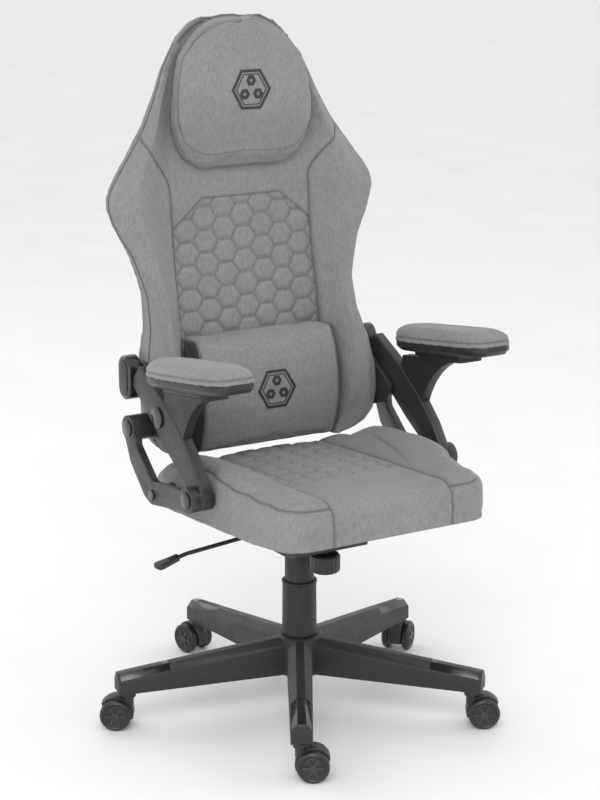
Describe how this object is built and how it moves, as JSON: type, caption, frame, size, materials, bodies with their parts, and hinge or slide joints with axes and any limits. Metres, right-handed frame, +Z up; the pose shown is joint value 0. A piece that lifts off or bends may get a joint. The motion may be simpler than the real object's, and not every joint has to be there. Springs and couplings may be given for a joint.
{
  "type": "gaming chair",
  "caption": "High-backed swivel chair on a star base with casters: winged quilted backrest, head and lumbar pillows, linked reclining armrests, gas lift and tilt mechanism.",
  "frame": {"origin": "middle of the outer box, on the floor", "axes": "+Z up, the sitter faces -Y, +X is the sitter's left"},
  "size_m": [0.7238, 0.705, 1.234],
  "materials": {
    "plastic": "fine moulded grain, semi-matte charcoal",
    "gloss_plastic": "dark, shallow gloss",
    "fabric": "fine heathered grey weave",
    "steel": "black powder coat",
    "chrome": "ground and polished",
    "wood": "raw plywood"
  },
  "bodies": {
    "base": {"star_base": "plastic", "foot_grip_1": "gloss_plastic", "foot_grip_2": "gloss_plastic", "foot_grip_3": "gloss_plastic", "foot_grip_4": "gloss_plastic", "foot_grip_5": "gloss_plastic", "lower_sleeve": "plastic", "gas_tube": "steel"},
    "caster_1": {"caster_body_1": "plastic"},
    "wheels_1": {"caster_wheels_1": "plastic"},
    "caster_2": {"caster_body_2": "plastic"},
    "wheels_2": {"caster_wheels_2": "plastic"},
    "caster_3": {"caster_body_3": "plastic"},
    "wheels_3": {"caster_wheels_3": "plastic"},
    "caster_4": {"caster_body_4": "plastic"},
    "wheels_4": {"caster_wheels_4": "plastic"},
    "caster_5": {"caster_body_5": "plastic"},
    "wheels_5": {"caster_wheels_5": "plastic"},
    "lift": {"gas_piston": "chrome", "upper_sleeve": "plastic"},
    "swivel": {"mechanism": "steel", "tilt_pin": "steel"},
    "knob": {"tension_knob": "plastic"},
    "lever": {"lever_rod": "steel", "lever_paddle": "plastic"},
    "seat": {"seat_plate": "steel", "seat_board": "wood", "seat_cushion": "fabric", "seat_bracket_left": "plastic", "seat_bracket_right": "plastic", "recline_pin_left": "gloss_plastic", "recline_pin_right": "gloss_plastic", "arm_pin_left": "gloss_plastic", "arm_pin_right": "gloss_plastic", "corner_bolt_left": "steel", "corner_bolt_right": "steel"},
    "back": {"back_panel": "fabric", "back_bolster_left": "fabric", "back_bolster_right": "fabric", "back_shell": "fabric", "hinge_plate_left": "plastic", "hinge_plate_right": "plastic", "link_housing_left": "gloss_plastic", "link_housing_right": "gloss_plastic", "link_insert_left": "plastic", "link_insert_right": "plastic"},
    "head_rest": {"head_pillow": "fabric"},
    "lumbar_rest": {"lumbar_pillow": "fabric"},
    "armrest_left": {"arm_left": "plastic", "arm_cap_left": "gloss_plastic", "arm_gusset_left": "plastic"},
    "armrest_right": {"arm_right": "plastic", "arm_cap_right": "gloss_plastic", "arm_gusset_right": "plastic"},
    "pad_turntable_left": {"pad_swivel_left": "plastic"},
    "pad_turntable_right": {"pad_swivel_right": "plastic"},
    "pad_left": {"pad_tray_left": "plastic", "pad_cushion_left": "fabric"},
    "pad_right": {"pad_tray_right": "plastic", "pad_cushion_right": "fabric"}
  },
  "joints": [
    {"name": "caster_swivel_1", "type": "hinge", "parent": "base", "child": "caster_1", "pos_m": [-0.15639, -0.30528, 0.08], "axis": [0, 0, 1], "continuous": true},
    {"name": "caster_swivel_2", "type": "hinge", "parent": "base", "child": "caster_2", "pos_m": [0.22521, -0.26987, 0.08], "axis": [0, 0, 1], "continuous": true},
    {"name": "caster_swivel_3", "type": "hinge", "parent": "base", "child": "caster_3", "pos_m": [0.30946, 0.10398, 0.08], "axis": [0, 0, 1], "continuous": true},
    {"name": "caster_swivel_4", "type": "hinge", "parent": "base", "child": "caster_4", "pos_m": [-0.02006, 0.29964, 0.08], "axis": [0, 0, 1], "continuous": true},
    {"name": "caster_swivel_5", "type": "hinge", "parent": "base", "child": "caster_5", "pos_m": [-0.30797, 0.04671, 0.08], "axis": [0, 0, 1], "continuous": true},
    {"name": "wheel_spin_1", "type": "hinge", "parent": "caster_1", "child": "wheels_1", "pos_m": [-0.13961, -0.31617, 0.0285], "axis": [-0.5446, -0.8387, 0], "continuous": true},
    {"name": "wheel_spin_2", "type": "hinge", "parent": "caster_2", "child": "wheels_2", "pos_m": [0.24235, -0.28018, 0.0285], "axis": [-0.515, -0.8572, 0], "continuous": true},
    {"name": "wheel_spin_3", "type": "hinge", "parent": "caster_3", "child": "wheels_3", "pos_m": [0.32456, 0.11711, 0.0285], "axis": [0.6561, -0.7547, 0], "continuous": true},
    {"name": "wheel_spin_4", "type": "hinge", "parent": "caster_4", "child": "wheels_4", "pos_m": [-0.0249, 0.31905, 0.0285], "axis": [0.9703, 0.2419, 0], "continuous": true},
    {"name": "wheel_spin_5", "type": "hinge", "parent": "caster_5", "child": "wheels_5", "pos_m": [-0.32494, 0.05731, 0.0285], "axis": [0.5299, 0.848, 0], "continuous": true},
    {"name": "seat_lift", "type": "slide", "parent": "base", "child": "lift", "axis": [0, 0, 1], "range_m": [0, 0.08]},
    {"name": "seat_swivel", "type": "hinge", "parent": "lift", "child": "swivel", "pos_m": [0.01005, -0.02496, 0.31], "axis": [0, 0, 1], "continuous": true},
    {"name": "tension_knob_turn", "type": "hinge", "parent": "swivel", "child": "knob", "pos_m": [0.01005, -0.11296, 0.3], "axis": [0, 0, 1], "range_deg": [0, 720]},
    {"name": "lever_lift", "type": "hinge", "parent": "swivel", "child": "lever", "pos_m": [-0.05195, -0.03496, 0.352], "axis": [0, 1, 0], "range_deg": [0, 8]},
    {"name": "seat_tilt", "type": "hinge", "parent": "swivel", "child": "seat", "pos_m": [0.01005, -0.06996, 0.35], "axis": [-1, 0, 0], "range_deg": [0, 12], "stiffness_Nm_per_rad": 260, "springref_deg": -11.46},
    {"name": "recline", "type": "hinge", "parent": "seat", "child": "back", "pos_m": [0.01005, 0.10804, 0.535], "axis": [-1, 0, 0], "range_deg": [0, 30]},
    {"name": "arm_turn_left", "type": "hinge", "parent": "seat", "child": "armrest_left", "pos_m": [0.25505, -0.10496, 0.458], "axis": [-1, 0, 0], "range_deg": [0, 6]},
    {"name": "arm_turn_right", "type": "hinge", "parent": "seat", "child": "armrest_right", "pos_m": [-0.23495, -0.10496, 0.458], "axis": [-1, 0, 0], "range_deg": [0, 6]},
    {"name": "pad_turn_left", "type": "hinge", "parent": "armrest_left", "child": "pad_turntable_left", "pos_m": [0.26705, -0.11842, 0.64733], "axis": [0, 0.1392, 0.9903], "range_deg": [-15, 15]},
    {"name": "pad_turn_right", "type": "hinge", "parent": "armrest_right", "child": "pad_turntable_right", "pos_m": [-0.24695, -0.11842, 0.64733], "axis": [0, 0.1392, 0.9903], "range_deg": [-15, 15]},
    {"name": "pad_slide_left", "type": "slide", "parent": "pad_turntable_left", "child": "pad_left", "axis": [0, -0.9903, 0.1392], "range_m": [0, 0.03]},
    {"name": "pad_slide_right", "type": "slide", "parent": "pad_turntable_right", "child": "pad_right", "axis": [0, -0.9903, 0.1392], "range_m": [0, 0.03]},
    {"name": "lumbar_slide", "type": "slide", "parent": "back", "child": "lumbar_rest", "axis": [0, 0.117, 0.9931], "range_m": [0, 0.06]},
    {"name": "head_slide", "type": "slide", "parent": "back", "child": "head_rest", "axis": [0, 0.1, 0.995], "range_m": [-0.05, 0]}
  ],
  "couplings": [
    {"joint": "arm_turn_left", "follows": "recline", "ratio": 0.2},
    {"joint": "arm_turn_right", "follows": "recline", "ratio": 0.2}
  ]
}
